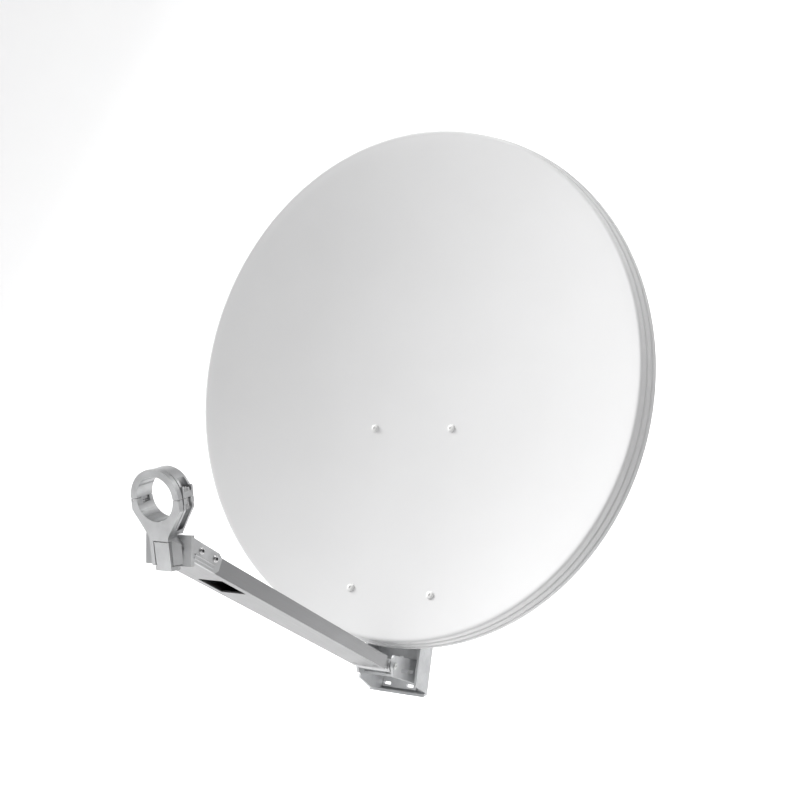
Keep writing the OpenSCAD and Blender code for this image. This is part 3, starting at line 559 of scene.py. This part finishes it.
def make_finishes():
    """Every finish, by its slot's name or its use."""
    dish = settings("dish")
    metal = settings("metal")
    arm_turn = -(Frames().tilt + ARM_RISE)
    coat, arm, casting, bracket, zinc = (tuple(c) for c in (
        dish.coat, metal.arm, metal.casting, metal.bracket, metal.zinc))
    FINISHES.update(
        reflector_coat=surface(
            "reflector_powder_coat", coat, shade(coat, 0.97), 0.42, 0.0, 900,
            bump=0.12, depth=0.06, patch=5, coat=0.05),
        white_bolt=surface(
            "white_coated_bolt", (0.86, 0.86, 0.85), (0.82, 0.82, 0.81), 0.4, 0.0, 700,
            bump=0.1, wear=(0.9, 0.9, 0.9)),
        # Painted shade: a near-black colour for the inside of the screw sockets, standing in for the
        # shade that falls in the recess.
        bolt_recess=surface(
            "bolt_recess", (0.16, 0.16, 0.17), (0.12, 0.12, 0.13), 0.5, 0.4, 900),
        pad_rubber=surface(
            "pad_rubber", (0.055, 0.055, 0.06), (0.04, 0.04, 0.045), 0.75, 0.0, 1400, bump=0.3),
        galvanised=surface(
            "galvanised_sheet", zinc, shade(zinc, 0.86), 0.42, 0.45, 420,
            bump=0.15, patch=30, cells=140, wear=(0.75, 0.75, 0.76)),
        bracket_steel=surface(
            "bracket_steel", bracket, shade(bracket, 0.85), 0.45, 0.35, 600,
            bump=0.2, patch=40, wear=(0.5, 0.5, 0.5)),
        zinc=surface(
            "zinc_plating", (0.66, 0.67, 0.66), (0.55, 0.56, 0.55), 0.32, 0.9, 800,
            bump=0.1, patch=90, wear=(0.8, 0.8, 0.8)),
        scale_plate=surface(
            "scale_plate", (0.72, 0.72, 0.70), (0.66, 0.66, 0.65), 0.4, 0.3, 600),
        scale_ink=surface(
            "scale_ink", (0.05, 0.05, 0.05), (0.07, 0.07, 0.07), 0.6, 0.0, 900),
        arm_aluminium=surface(
            "brushed_arm", arm, shade(arm, 0.95), 0.34, 0.95, 1500, stretch=(1, 60, 1),
            turn=arm_turn, bump=0.22, depth=0.03, patch=8, wear=(0.85, 0.85, 0.85)),
        cast_aluminium=surface(
            "cast_aluminium", casting, shade(casting, 0.82), 0.36, 0.9, 1100,
            bump=0.4, depth=0.06, patch=50, wear=(0.74, 0.74, 0.74)),
        stainless=surface(
            "stainless_fixings", (0.70, 0.70, 0.70), (0.62, 0.62, 0.62), 0.25, 1.0, 900,
            bump=0.08, patch=120, wear=(0.85, 0.85, 0.85)),
    )


# ---------- reflector ----------
# The rim's section, as millimetres out from the crest and back from it. The outer line runs
# over the crest and down two grooved steps, and the inner line comes back inside them.
RIM_OUTER = ((-3.8, 1.5), (-1.7, 0.8), (0.1, 0.6), (1.5, 1.1), (2.5, 2.7), (3.0, 4.8),
             (4.5, 11.4), (4.5, 12.0), (3.7, 12.6), (3.9, 13.6), (5.9, 13.7), (6.4, 14.3),
             (8.7, 22.4), (8.7, 23.0), (7.9, 23.6), (8.1, 24.6), (10.2, 24.7), (10.7, 25.4),
             (12.0, 32.0))
RIM_INNER = ((10.4, 32.0), (8.6, 26.6), (6.6, 25.6), (4.3, 15.4), (2.4, 14.4), (0.6, 4.2),
             (-2.2, 2.4))
FACE_RINGS = 44
BACK_RINGS = 20
RIM_SIDES = 288
CREST_IN = 6 * MM
STATION_VALUES = ("turn", "spread", "behind", "out", "back", "on_rim")


def cut_corners(points):
    """An open line of points with its corners cut."""
    cut = [points[0]]
    for (ax, ay), (bx, by) in zip(points, points[1:]):
        cut += [(0.75 * ax + 0.25 * bx, 0.75 * ay + 0.25 * by),
                (0.25 * ax + 0.75 * bx, 0.25 * ay + 0.75 * by)]
    return cut + [points[-1]]


def reflector_stations():
    """Rings from the front's centre round the rim to the back's centre.

    Each is spread, behind, out, back and on_rim.
    """
    end = 1 - CREST_IN / (settings("dish").width / 2)
    face = [(end * (j + 1) / FACE_RINGS, 0.0, 0.0, 0.0, 0.0) for j in range(FACE_RINGS)]
    rim = [(1.0, 0.0, out * MM, back * MM, 1.0)
           for line in (RIM_OUTER, RIM_INNER) for out, back in cut_corners(line)]
    back = [(end * (j + 1) / BACK_RINGS, 1.0, 0.0, 0.0, 0.0)
            for j in reversed(range(BACK_RINGS))]
    return face + rim + back


def reflector_lattice():
    """The reflector's rings and fans as a mesh whose points carry their stations."""
    stations = reflector_stations()
    rows = [(0.0, 0.0, 0.0, 0.0, 0.0, 0.0)]
    rows += [(2 * math.pi * i / RIM_SIDES, *station) for station in stations
             for i in range(RIM_SIDES)]
    rows.append((0.0, 0.0, 1.0, 0.0, 0.0, 0.0))
    last = len(rows) - 1
    end = 1 + (len(stations) - 1) * RIM_SIDES
    faces = []
    for i in range(RIM_SIDES):
        k = (i + 1) % RIM_SIDES
        faces.append((0, 1 + k, 1 + i))
        for j in range(len(stations) - 1):
            a = 1 + j * RIM_SIDES
            faces.append((a + i, a + k, a + RIM_SIDES + k, a + RIM_SIDES + i))
        faces.append((last, end + i, end + k))
    mesh = bpy.data.meshes.new("dish_reflector")
    mesh.from_pydata([(0, 0, 0)] * len(rows), [], faces)
    for index, name in enumerate(STATION_VALUES):
        values = mesh.attributes.new(name, "FLOAT", "POINT").data
        values.foreach_set("value", [row[index] for row in rows])
    return mesh


def reflector_tree(material):
    """The offset paraboloid and its rim as one rule."""
    dish = settings("dish")
    place = Frames().dish
    tree = Tree("offset_paraboloid")
    width = tree.input("Width", "Float", dish.width)
    focal = tree.input("Focal length", "Float", dish.focal)
    sheet = tree.input("Sheet thickness", "Float", SHEET)
    tilt = tree.input("Tilt", "Float", math.radians(Frames().tilt))
    centre_y = tree.input("Centre Y", "Float", place.translation.y)
    centre_z = tree.input("Centre Z", "Float", place.translation.z)
    coat = tree.input("Material", "Material", material)
    turn, spread, behind, out, back, on_rim = (tree.attribute(name) for name in STATION_VALUES)
    half_w = width / 2.0
    angle = (half_w / (focal * 2.0)).math("ARCTANGENT")
    sin_a, cos_a = angle.sin(), angle.cos()
    half_h = half_w / cos_a
    x = spread * half_w * turn.cos()
    v = spread * half_h * turn.sin()
    up = v + half_h
    qa = sin_a * sin_a
    qb = -(up * sin_a * cos_a * 2.0 + focal * cos_a * 4.0)
    qc = x * x + (up * cos_a) * (up * cos_a) - focal * up * sin_a * 4.0
    n = qc * 2.0 / ((qb * qb - qa * qc * 4.0).root() - qb)
    r = up * cos_a - n * sin_a
    nx, ny, nz = -x, r * sin_a + focal * cos_a * 2.0, focal * sin_a * 2.0 - r * cos_a
    depth = behind * sheet / (nx * nx + ny * ny + nz * nz).root()
    dx, dz = turn.cos() / half_w, turn.sin() / half_h
    step = out / (dx * dx + dz * dz).root()
    off_rim = -on_rim + 1.0
    px = (x - depth * nx) * off_rim + (half_w * turn.cos() + step * dx) * on_rim
    py = (depth * ny - n) * off_rim + back * on_rim
    pz = (v - depth * nz) * off_rim + (half_h * turn.sin() + step * dz) * on_rim
    world_y = centre_y + py * tilt.cos() + pz * tilt.sin()
    world_z = centre_z - py * tilt.sin() + pz * tilt.cos()
    join = tree.node("ShaderNodeCombineXYZ", {"X": px.socket, "Y": world_y.socket, "Z": world_z.socket})
    placed = tree.node("GeometryNodeSetPosition", {
        "Geometry": tree.start.outputs["Geometry"], "Position": join.outputs["Vector"]})
    tree.finish(placed.outputs["Geometry"], [(coat, None)])
    return tree


class DISH_OT_reflector(bpy.types.Operator):
    """Make the coated reflector as an offset paraboloid with its stepped rim"""
    bl_idname = "satellite.reflector"
    bl_label = "Reflector"

    def execute(self, context):
        obj = new_object("dish_reflector", reflector_lattice())
        reflector_tree(FINISHES["reflector_coat"]).apply(obj)
        smoothed(obj.data, 60)
        finished(obj, "reflector")
        return {"FINISHED"}


# ---------- bolts, pads and nuts of the reflector ----------
class DISH_OT_reflector_bolts(bpy.types.Operator):
    """Make the four mushroom-headed bolts with their pads and nuts"""
    bl_idname = "satellite.reflector_bolts"
    bl_label = "Reflector bolts"

    def execute(self, context):
        frames = Frames()
        radius = settings("dish").head_radius
        shank = 3 * MM
        profile = [(0, -16 * MM), (shank, -16 * MM), (shank, 0.2 * MM), (radius, 0.2 * MM),
                   (radius, 0.7 * MM), (0.96 * radius, 1.3 * MM), (0.84 * radius, 2.0 * MM),
                   (0.66 * radius, 2.5 * MM), (0.46 * radius, 2.8 * MM), (0.36 * radius, 2.85 * MM),
                   (0.32 * radius, 2.5 * MM), (0.30 * radius, 1.5 * MM), (0, 1.4 * MM)]
        bm = lathe(profile, 40)
        places = []
        for v in frames.bolt_rows:
            for side in (-1, 1):
                point, normal = face_point(side * BOLT_X, v, 0)
                places.append((frames.dish @ point, frames.dish.to_3x3() @ normal, Vector((1, 0, 0))))
        bolts = repeated("reflector_bolt_set", bm, places, FINISHES["white_bolt"])
        finished(bolts, "reflector_bolts")
        rounded_piece("reflector_pad_set", "reflector_pads", FINISHES["pad_rubber"], 0.4)
        rounded_piece("reflector_nut_set", "reflector_nuts", FINISHES["zinc"], 0.3)
        return {"FINISHED"}


# ---------- pieces that follow their nodes ----------
def follow(rows):
    """Rounded copies of nodes, given as (name, node, edge in millimetres)."""
    for name, node, edge in rows:
        rounded_piece(name, node, FINISHES[SLOTS[node]], edge)


class DISH_OT_carrier(bpy.types.Operator):
    """Make the carrier channel, its two straps, their rivets and the elevation scale"""
    bl_idname = "satellite.carrier"
    bl_label = "Carrier and straps"

    def execute(self, context):
        follow((("carrier_channel", "carrier", 0.5), ("cross_strap_upper", "upper_strap", 0.4),
                ("cross_strap_lower", "lower_strap", 0.4), ("strap_rivet_set", "strap_rivets", 0.4),
                ("scale_sheet", "elevation_scale", 0.04)))
        frames = Frames()
        turn = frames.chord_frame.to_3x3()
        places = []
        for step in range(-TICKS_EACH_WAY, TICKS_EACH_WAY + 1):
            angle = math.radians(90 - TICK_DEGREES * step)
            radial = Vector((0, math.cos(angle), math.sin(angle)))
            middle = LONG_TICK_RADIUS if step % 5 == 0 else TICK_RADIUS
            point = frames.scale_centre + middle * radial + Vector((SCALE_FACE_X, 0, 0))
            places.append((frames.chord_frame @ point, turn @ Vector((1, 0, 0)), turn @ radial))
        ticks = repeated("scale_ticks", bar((3.2 * MM, 0.35 * MM, 0.05 * MM), 0.01 * MM), places,
                         FINISHES["scale_ink"])
        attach(ticks, BODIES["elevation_scale"])
        return {"FINISHED"}


class DISH_OT_hinge(bpy.types.Operator):
    """Make the hinge bracket at the foot of the carrier with its bolts and nuts"""
    bl_idname = "satellite.hinge"
    bl_label = "Arm hinge"

    def execute(self, context):
        follow((("hinge_bracket", "arm_bracket", 0.4), ("bracket_bolt_set", "bracket_bolts", 0.3),
                ("bracket_nut_set", "bracket_nuts", 0.3), ("hinge_bolt", "arm_pivot_bolt", 0.3),
                ("hinge_nut", "arm_pivot_nut", 0.3)))
        return {"FINISHED"}


def button_head(radius, rise, socket, shank, length):
    """A button-headed screw that stands on the XY plane, with a round socket marked as inset."""
    profile = [(0, -length), (shank, -length), (shank, 0), (radius, 0), (radius, 0.25 * rise),
               (0.9 * radius, 0.6 * rise), (0.72 * radius, 0.88 * rise), (1.25 * socket, rise),
               (socket, 0.9 * rise), (0.9 * socket, 0.2 * rise), (0, 0.15 * rise)]
    bm = lathe(profile, 30)
    # Faces inside the socket are marked; on the head screws they take the painted shade of the socket.
    inset = bm.faces.layers.bool.new("inset")
    for face in bm.faces:
        centre = face.calc_center_median()
        face[inset] = math.hypot(centre.x, centre.y) < 0.97 * socket and centre.z > 0
    return bm


class DISH_OT_arm(bpy.types.Operator):
    """Make the extruded feed arm with its root block, pins and trim lines"""
    bl_idname = "satellite.arm"
    bl_label = "Feed arm"

    def execute(self, context):
        follow((("arm_profile", "feed_arm", 0.45), ("root_block", "hinge_block", 0.5)))
        frames = Frames()
        turn = frames.arm.to_3x3()
        places = [(frames.arm @ Vector((x, -PIN_BACK, side * ARM_H / 2)),
                   turn @ Vector((0, 0, side)), turn @ Vector((1, 0, 0)))
                  for x in (-PIN_ACROSS, PIN_ACROSS) for side in (-1, 1)]
        pin = button_head(3.4 * MM, 0.6 * MM, 0.8 * MM, 2.4 * MM, 7.9 * MM)
        pins = repeated("root_pin_set", pin, places, FINISHES["arm_aluminium"])
        finished(pins, "hinge_block_pins")
        middle = -(TRIM_START + TRIM_END) / 2
        places = [(frames.arm @ Vector((side * ARM_W / 2, middle, height)),
                   turn @ Vector((side, 0, 0)), turn @ Vector((0, 1, 0)))
                  for side in (-1, 1) for height in TRIM_HEIGHTS]
        line = bar((TRIM_END - TRIM_START, 0.45 * MM, 0.12 * MM), 0.05 * MM)
        lines = repeated("arm_trim_lines", line, places, FINISHES["arm_aluminium"])
        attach(lines, BODIES["feed_arm"])
        return {"FINISHED"}


class DISH_OT_feed_clamp(bpy.types.Operator):
    """Make the cast head, the yoke, the hinged cap and every fixing of the feed clamp"""
    bl_idname = "satellite.feed_clamp"
    bl_label = "Feed clamp"

    def execute(self, context):
        follow((("head_casting", "arm_head", 0.5),
                ("yoke_casting", "clamp_yoke", 0.6), ("stem_screw_set", "stem_screws", 0.3),
                ("stem_clip_plate", "stem_clip", 0.35), ("clip_fixing", "clip_screw", 0.2),
                ("cap_hinge_pin", "cap_pin", 0.2), ("cap_casting", "clamp_cap", 0.6),
                ("cap_screw", "clamp_screw", 0.25)))
        frames = Frames()
        turn = frames.arm.to_3x3()
        face_x = ARM_W / 2 + HEAD_WALL
        screws = [(frames.arm @ Vector((side * face_x, -(ARM_END - back), HEAD_SCREW_H)),
                   turn @ Vector((side, 0, 0)), turn @ Vector((0, 1, 0)))
                  for side in (-1, 1) for back in HEAD_SCREWS_BACK]
        screw = button_head(3.6 * MM, 1.5 * MM, 1.5 * MM, 1.95 * MM, 11 * MM)
        # The sockets of these screws are painted dark as painted shade, not left in their own metal.
        heads = repeated("head_screw_set", screw, screws, FINISHES["stainless"],
                         FINISHES["bolt_recess"])
        finished(heads, "head_screws")
        places = [(frames.arm @ Vector((side * face_x, -(ARM_END - HEAD_RIBS_BACK), height)),
                   turn @ Vector((side, 0, 0)), turn @ Vector((0, 1, 0)))
                  for side in (-1, 1) for height in HEAD_RIB_HEIGHTS]
        ribs = repeated("head_side_ribs", bar((30 * MM, 1.5 * MM, 0.8 * MM), 0.4 * MM), places,
                        FINISHES["cast_aluminium"])
        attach(ribs, BODIES["arm_head"])
        turn = frames.feed.to_3x3()
        for name, node, first, last in (("yoke_bore_ribs", "clamp_yoke", 196, 344),
                                        ("cap_bore_ribs", "clamp_cap", 20, 160)):
            places = []
            for step in range(first, last + 1, BORE_RIB_DEGREES):
                angle = math.radians(step)
                out = Vector((math.cos(angle), 0, math.sin(angle)))
                point = NECK_R * out + Vector((0, CLAMP_LEN / 2, 0))
                places.append((frames.feed @ point, turn @ -out, turn @ Vector((0, 1, 0))))
            ribs = repeated(name, bar((CLAMP_LEN - 0.6 * MM, 0.7 * MM, 0.35 * MM), 0.12 * MM), places,
                            FINISHES["cast_aluminium"])
            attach(ribs, BODIES[node])
        return {"FINISHED"}


class DISH_OT_mast_clamp(bpy.types.Operator):
    """Make the mast bracket, its two jaws and every bolt, nut and washer on them"""
    bl_idname = "satellite.mast_clamp"
    bl_label = "Mast clamp"

    def execute(self, context):
        follow((("mast_clamp_bracket", "mast_bracket", 0.5), ("mast_bolt_set", "mast_bolts", 0.4),
                ("pivot_bolt_piece", "pivot_bolt", 0.4), ("pivot_nut_piece", "pivot_nut", 0.4),
                ("lock_bolt_piece", "lock_bolt", 0.4), ("lock_nut_piece", "lock_nut", 0.4),
                ("side_washer_set", "side_washers", 0.25), ("jaw_upper", "upper_jaw", 0.5),
                ("jaw_lower", "lower_jaw", 0.5), ("upper_jaw_nut_set", "upper_jaw_nuts", 0.4),
                ("lower_jaw_nut_set", "lower_jaw_nuts", 0.4)))
        return {"FINISHED"}


# ---------- stage ----------
def area_light(name, place, target, size, power):
    """A square light that faces its target."""
    data = bpy.data.lights.new(name, "AREA")
    data.energy = power
    data.size = size
    obj = bpy.data.objects.new(name, data)
    obj.location = place
    obj.rotation_euler = (Vector(target) - Vector(place)).to_track_quat("-Z", "Y").to_euler()
    bpy.context.scene.collection.objects.link(obj)


class DISH_OT_stage(bpy.types.Operator):
    """Make the pale floor and backdrop, the soft lights and the camera"""
    bl_idname = "satellite.stage"
    bl_label = "Stage"

    def execute(self, context):
        stage = settings("stage")
        scene = context.scene
        profile = [(SWEEP_FRONT, stage.floor), (SWEEP_BEND, stage.floor)]
        profile += [(SWEEP_BEND + SWEEP_RADIUS * math.sin(math.radians(a)),
                     stage.floor + SWEEP_RADIUS - SWEEP_RADIUS * math.cos(math.radians(a)))
                    for a in range(10, 91, 10)]
        profile.append((SWEEP_BEND + SWEEP_RADIUS, SWEEP_TOP))
        verts = [(side * SWEEP_HALF_WIDTH, y, z) for y, z in profile for side in (-1, 1)]
        faces = [(2 * i, 2 * i + 1, 2 * i + 3, 2 * i + 2) for i in range(len(profile) - 1)]
        mesh = bpy.data.meshes.new("studio_sweep")
        mesh.from_pydata(verts, [], faces)
        pale = surface("pale_floor", (0.92, 0.92, 0.92), (0.90, 0.90, 0.90), 0.8, 0.0, 40,
                       bump=0.02)
        shader = pale.node_tree.nodes["Principled BSDF"]
        shader.inputs["Emission Color"].default_value = (1, 1, 1, 1)
        nodes, link = pale.node_tree.nodes, pale.node_tree.links.new
        across = nodes.new("ShaderNodeSeparateXYZ")
        link(nodes["Texture Coordinate"].outputs["Object"], across.inputs["Vector"])
        glows = []
        for axis, *ends in SWEEP_GLOW:
            glow = nodes.new("ShaderNodeMapRange")
            glow.interpolation_type = "SMOOTHSTEP"
            for key, value in zip(RANGE_INPUTS, ends):
                glow.inputs[key].default_value = value
            link(across.outputs[axis], glow.inputs["Value"])
            glows.append(glow.outputs["Result"])
        total = glows[0]
        for glow in glows[1:]:
            product = nodes.new("ShaderNodeMath")
            product.operation = "MULTIPLY"
            link(total, product.inputs[0])
            link(glow, product.inputs[1])
            total = product.outputs["Value"]
        link(total, shader.inputs["Emission Strength"])
        mesh.materials.append(pale)
        sweep = new_object("studio_sweep", mesh)
        smoothed(mesh, 30)

        world = bpy.data.worlds.new("studio_world")
        world.use_nodes = True
        background = world.node_tree.nodes["Background"]
        background.inputs["Color"].default_value = WORLD_COLOUR
        background.inputs["Strength"].default_value = WORLD_STRENGTH
        scene.world = world
        scene.view_settings.view_transform = "Standard"

        area_light("key_light", (-2.7, -0.95, 2.1), (0.15, -0.15, 0.1), 1.3, stage.key)
        area_light("front_fill", (-0.9, -3.3, 1.0), (0, -0.2, 0.1), 2.4, stage.fill)
        area_light("top_light", (0.5, -0.9, 2.4), (0, -0.3, 0), 1.4, stage.top)
        area_light("rim_light", (2.0, 0.35, 2.3), (0.2, -0.1, 0.1), 1.0, stage.rim)

        data = bpy.data.cameras.new("studio_camera")
        data.lens = stage.lens
        data.sensor_width = 36
        data.clip_start = 0.01
        camera = bpy.data.objects.new("studio_camera", data)
        camera.location = CAMERA_AT
        camera.rotation_euler = [math.radians(degrees) for degrees in CAMERA_TURN]
        scene.collection.objects.link(camera)
        scene.camera = camera
        return {"FINISHED"}


OPERATORS = (DISH_OT_reflector, DISH_OT_reflector_bolts, DISH_OT_carrier, DISH_OT_hinge,
             DISH_OT_arm, DISH_OT_feed_clamp, DISH_OT_mast_clamp, DISH_OT_stage)


class DISH_PT_panel(bpy.types.Panel):
    """Buttons and settings for the satellite dish"""
    bl_idname = "DISH_PT_panel"
    bl_label = "Satellite dish"
    bl_space_type = "VIEW_3D"
    bl_region_type = "UI"
    bl_category = "Satellite dish"

    def draw(self, context):
        for operator in OPERATORS:
            self.layout.operator(operator.bl_idname)
        for name, group in SETTINGS:
            box = self.layout.box()
            for key in group.__annotations__:
                box.prop(settings(name), key)


CLASSES = (*(group for name, group in SETTINGS), *OPERATORS, DISH_PT_panel)


def register():
    for cls in CLASSES:
        bpy.utils.register_class(cls)
    for name, group in SETTINGS:
        setattr(bpy.types.Scene, "satellite_" + name, bpy.props.PointerProperty(type=group))


def unregister():
    for name, group in SETTINGS:
        delattr(bpy.types.Scene, "satellite_" + name)
    for cls in reversed(CLASSES):
        bpy.utils.unregister_class(cls)


def main():
    register()
    make_finishes()
    for operator in OPERATORS:
        module, action = operator.bl_idname.split(".")
        getattr(getattr(bpy.ops, module), action)()


if __name__ == "__main__":
    main()
